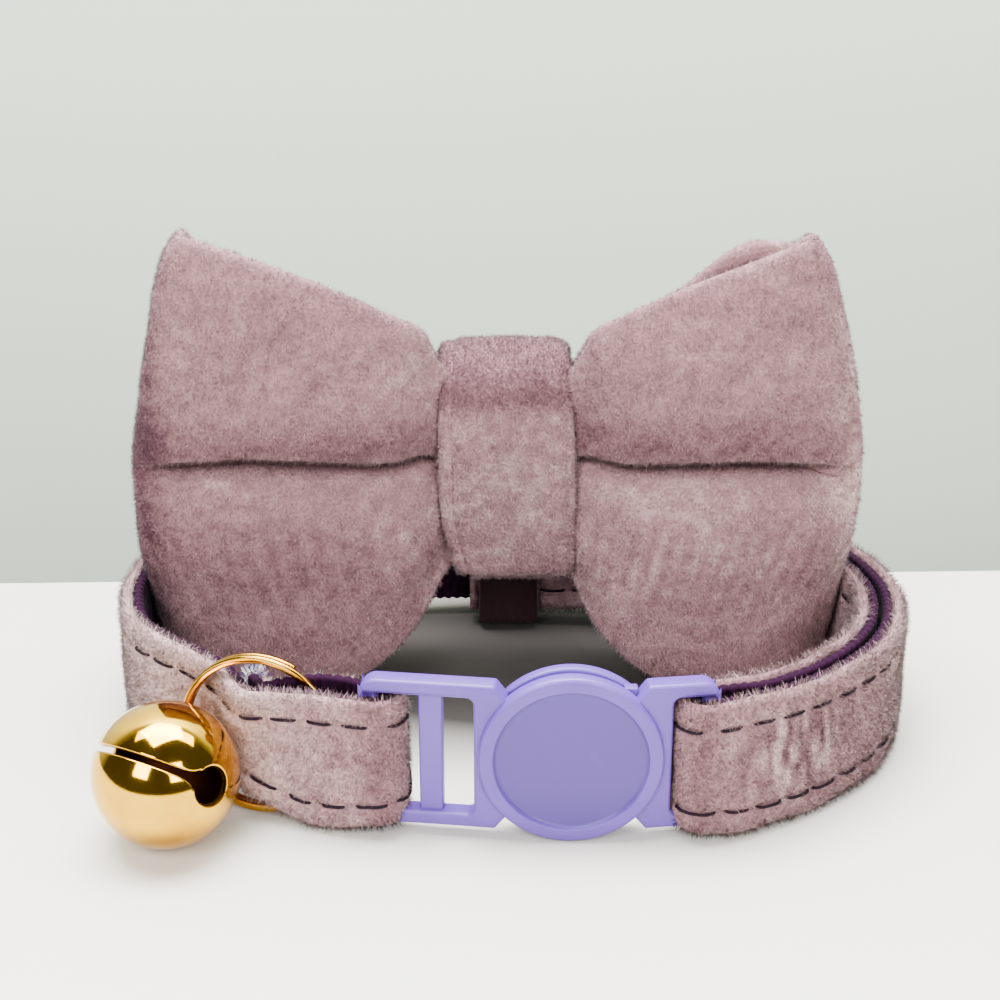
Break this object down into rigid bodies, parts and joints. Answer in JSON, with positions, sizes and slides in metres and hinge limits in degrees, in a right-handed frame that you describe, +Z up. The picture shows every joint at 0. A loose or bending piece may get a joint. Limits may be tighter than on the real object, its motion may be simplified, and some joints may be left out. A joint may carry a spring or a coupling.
{
  "type": "pet bow tie collar",
  "caption": "Fastened velvet pet collar with a safety buckle, a round bell on a split ring and a padded bow on its back strap.",
  "frame": {"origin": "middle of the collar's plan on the surface it stands on, at the height of its lowest point", "axes": "+X to the wearer-facing right along the buckle, from the bell side to the tongue side; +Y from the buckle to the bow; +Z up"},
  "size_m": [0.0694, 0.0486, 0.0429],
  "materials": {
    "webbing": "matte woven",
    "strap_velvet": "velvet",
    "bow_velvet": "velvet",
    "buckle_plastic": "satin",
    "bell_metal": "polished",
    "ring_metal": "polished",
    "elastic": "matte"
  },
  "bodies": {
    "root": {"strap_webbing": "webbing", "strap_velvet": "strap_velvet", "buckle_housing": "buckle_plastic", "buckle_tongue": "buckle_plastic", "bell_body": "bell_metal", "bell_clapper": "bell_metal", "split_ring": "ring_metal", "bow_body": "bow_velvet", "bow_knot": "bow_velvet", "bow_elastic": "elastic"}
  },
  "joints": []
}
